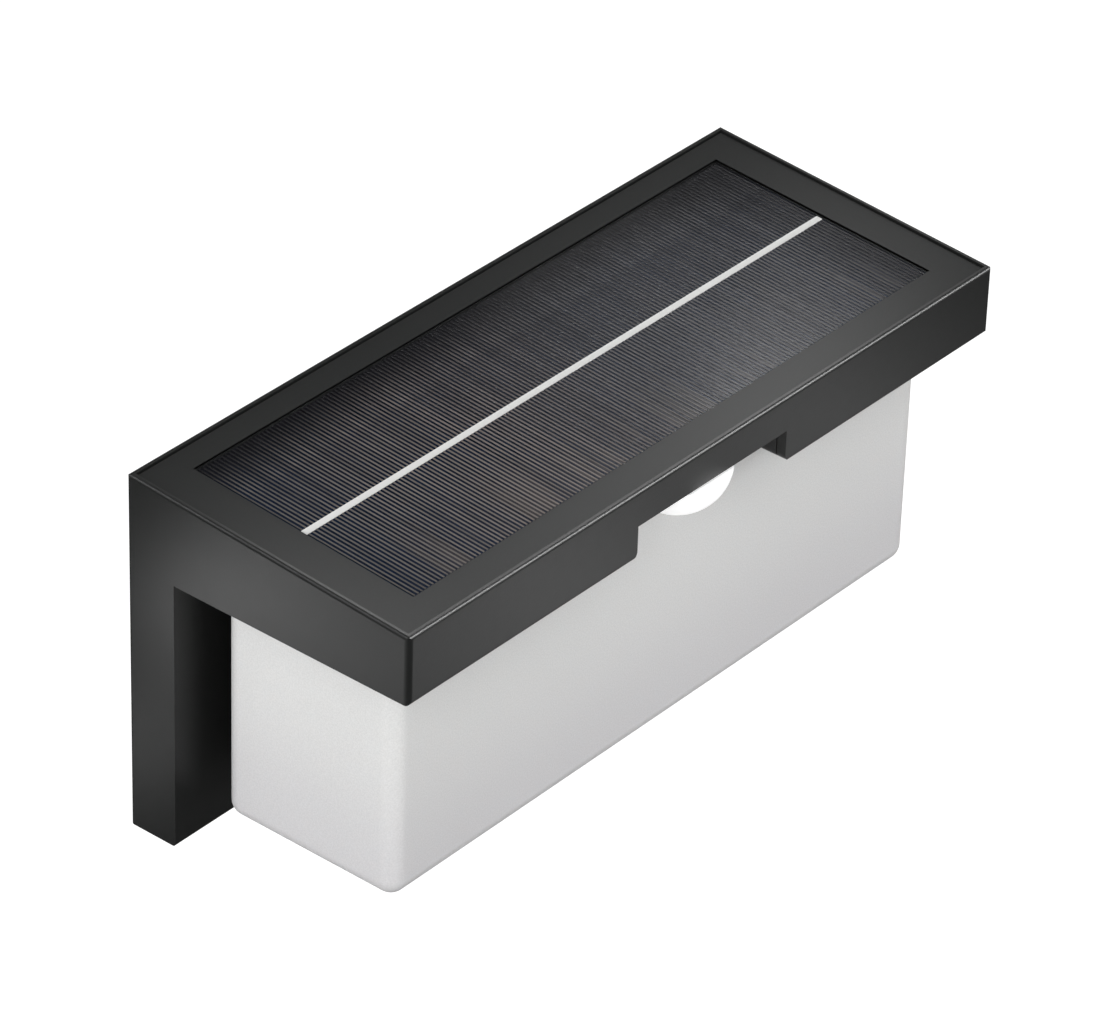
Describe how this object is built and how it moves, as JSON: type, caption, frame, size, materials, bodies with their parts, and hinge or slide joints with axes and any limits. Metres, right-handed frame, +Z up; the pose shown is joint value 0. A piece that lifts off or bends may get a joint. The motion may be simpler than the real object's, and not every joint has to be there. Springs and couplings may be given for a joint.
{
  "type": "solar fence light",
  "caption": "Wall-hung solar fence light: an L-shaped housing with a sloping solar panel, a frosted lamp box below and a half-dome motion sensor in a notch of its front lip.",
  "frame": {"origin": "midway between the two keyhole entries, in the plane of the back", "axes": "+X to the right seen from the front, +Y into the wall, +Z up"},
  "size_m": [0.18, 0.0735, 0.0834],
  "materials": {
    "housing": "fine satin, dark charcoal",
    "tray": "fine matt, near black",
    "opal": "frosted opal",
    "lens": "milky white",
    "rubber": "soft black silicone",
    "screw": "zinc plated",
    "panel_backing": "dark laminate",
    "cell": "dark silicon",
    "grid": "printed silver",
    "panel_cover": "clear resin, satin",
    "white_plastic": "white",
    "white_board": "white solder mask",
    "led": "yellow phosphor",
    "battery": "blue film wrap",
    "black_plastic": "black",
    "contact": "nickel plated",
    "board": "green solder mask",
    "can": "nickel plated can",
    "filter": "dark filter window",
    "button": "soft black",
    "lead": "insulated lead"
  },
  "bodies": {
    "light": {"housing": "housing", "back_cover": "housing", "back_seal": "rubber", "back_screws": "screw", "base_tray": "tray", "tray_screws": "screw", "diffuser": "opal", "diffuser_gasket": "rubber", "diffuser_screws": "screw", "panel_seal": "rubber", "panel_backing": "panel_backing", "solar_cell": "cell", "cell_grid": "grid", "panel_cover": "panel_cover", "reflector": "white_plastic", "reflector_screws": "screw", "led_board": "white_board", "leds": "led", "battery": "battery", "battery_cradle": "black_plastic", "battery_contacts": "contact", "controller_board": "board", "board_components": "black_plastic", "board_screws": "screw", "sensor_lens": "lens", "sensor_holder": "black_plastic", "sensor_can": "can", "sensor_filter": "filter", "sensor_board": "board", "button_seal": "rubber", "switch_body": "black_plastic", "switch_board": "board", "panel_leads": "lead", "battery_leads": "lead", "led_leads": "lead", "switch_leads": "lead", "sensor_leads": "lead"},
    "button": {"mode_button": "button", "switch_plunger": "white_plastic"}
  },
  "joints": [
    {"name": "button_press", "type": "slide", "parent": "light", "child": "button", "axis": [0, 0, 1], "range_m": [0, 0.0006], "stiffness_N_per_m": 400}
  ]
}
